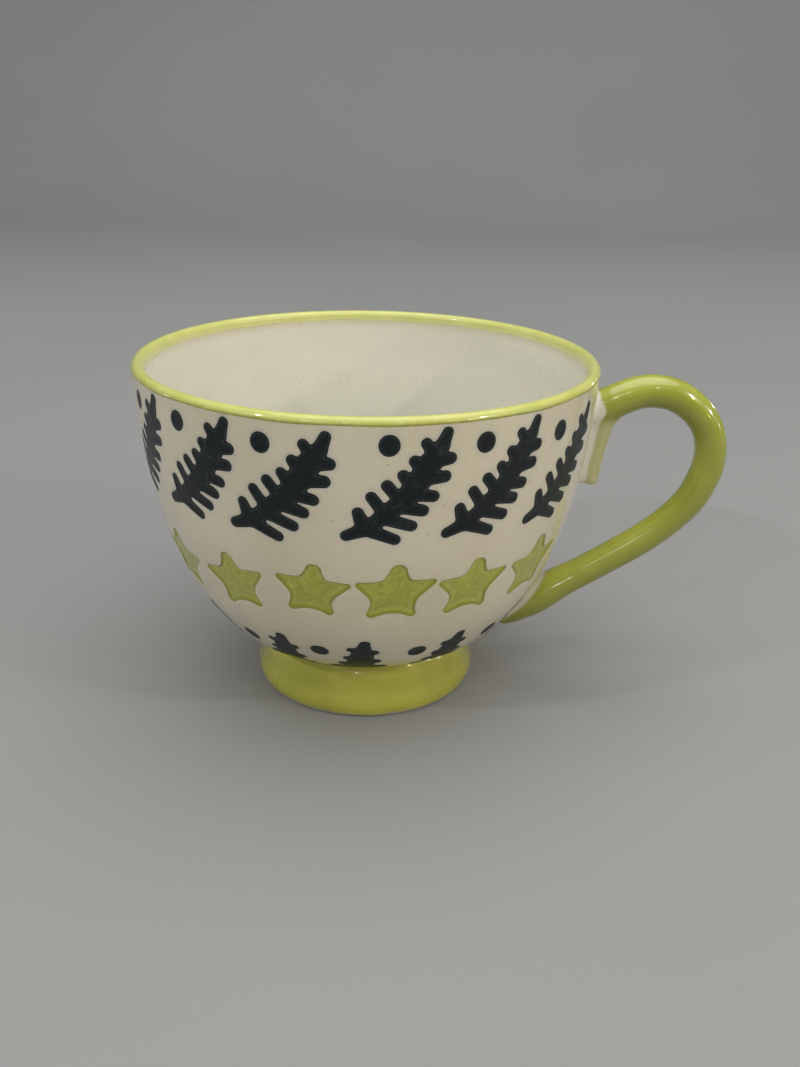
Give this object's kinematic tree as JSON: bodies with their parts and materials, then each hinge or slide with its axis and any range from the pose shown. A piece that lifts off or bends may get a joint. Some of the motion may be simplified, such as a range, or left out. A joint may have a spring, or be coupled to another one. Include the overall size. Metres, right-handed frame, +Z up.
{
  "type": "stoneware mug",
  "caption": "Footed round-bellied drinking mug with a loop handle, a glazed lip band and inlaid leaf, dot, star and sprig patterns.",
  "frame": {"origin": "centre of the whole mug's box on the plane that the foot rests on; the cup's own axis is vertical at X = -17.9 mm", "axes": "+Z up along the cup's axis, +X towards the handle, so +Y is to the left of someone who holds the handle at arm's length and looks along +X"},
  "size_m": [0.1556, 0.12, 0.092],
  "materials": {
    "cream_glaze": "gloss cream glaze with small iron specks",
    "foot_glaze": "gloss olive-lime glaze over a bare resting edge",
    "handle_glaze": "gloss lime glaze",
    "rim_glaze": "gloss yellow-lime glaze",
    "slip": "gloss clear glaze over pale slip",
    "charcoal_glaze": "satin charcoal glaze, brushed",
    "star_glaze": "satin lime glaze pooled darker at the edges"
  },
  "bodies": {
    "root": {"bowl": "cream_glaze", "dot_01": "charcoal_glaze", "dot_02": "charcoal_glaze", "dot_03": "charcoal_glaze", "dot_04": "charcoal_glaze", "dot_05": "charcoal_glaze", "dot_06": "charcoal_glaze", "dot_07": "charcoal_glaze", "dot_08": "charcoal_glaze", "dot_09": "charcoal_glaze", "dot_10": "charcoal_glaze", "dot_11": "charcoal_glaze", "dot_12": "charcoal_glaze", "dot_13": "charcoal_glaze", "foot_ring": "foot_glaze", "handle": "handle_glaze", "leaf_01": "charcoal_glaze", "leaf_02": "charcoal_glaze", "leaf_03": "charcoal_glaze", "leaf_04": "charcoal_glaze", "leaf_05": "charcoal_glaze", "leaf_06": "charcoal_glaze", "leaf_07": "charcoal_glaze", "leaf_08": "charcoal_glaze", "leaf_09": "charcoal_glaze", "leaf_10": "charcoal_glaze", "leaf_11": "charcoal_glaze", "leaf_12": "charcoal_glaze", "leaf_13": "charcoal_glaze", "lower_slip_joint": "slip", "rim_glaze": "rim_glaze", "sprig_01": "charcoal_glaze", "sprig_02": "charcoal_glaze", "sprig_03": "charcoal_glaze", "sprig_04": "charcoal_glaze", "sprig_05": "charcoal_glaze", "sprig_06": "charcoal_glaze", "sprig_07": "charcoal_glaze", "sprig_08": "charcoal_glaze", "sprig_09": "charcoal_glaze", "sprig_10": "charcoal_glaze", "sprig_11": "charcoal_glaze", "star_01": "star_glaze", "star_02": "star_glaze", "star_03": "star_glaze", "star_04": "star_glaze", "star_05": "star_glaze", "star_06": "star_glaze", "star_07": "star_glaze", "star_08": "star_glaze", "star_09": "star_glaze", "star_10": "star_glaze", "star_11": "star_glaze", "star_12": "star_glaze", "star_13": "star_glaze", "star_14": "star_glaze", "upper_slip_joint": "slip"}
  },
  "joints": []
}
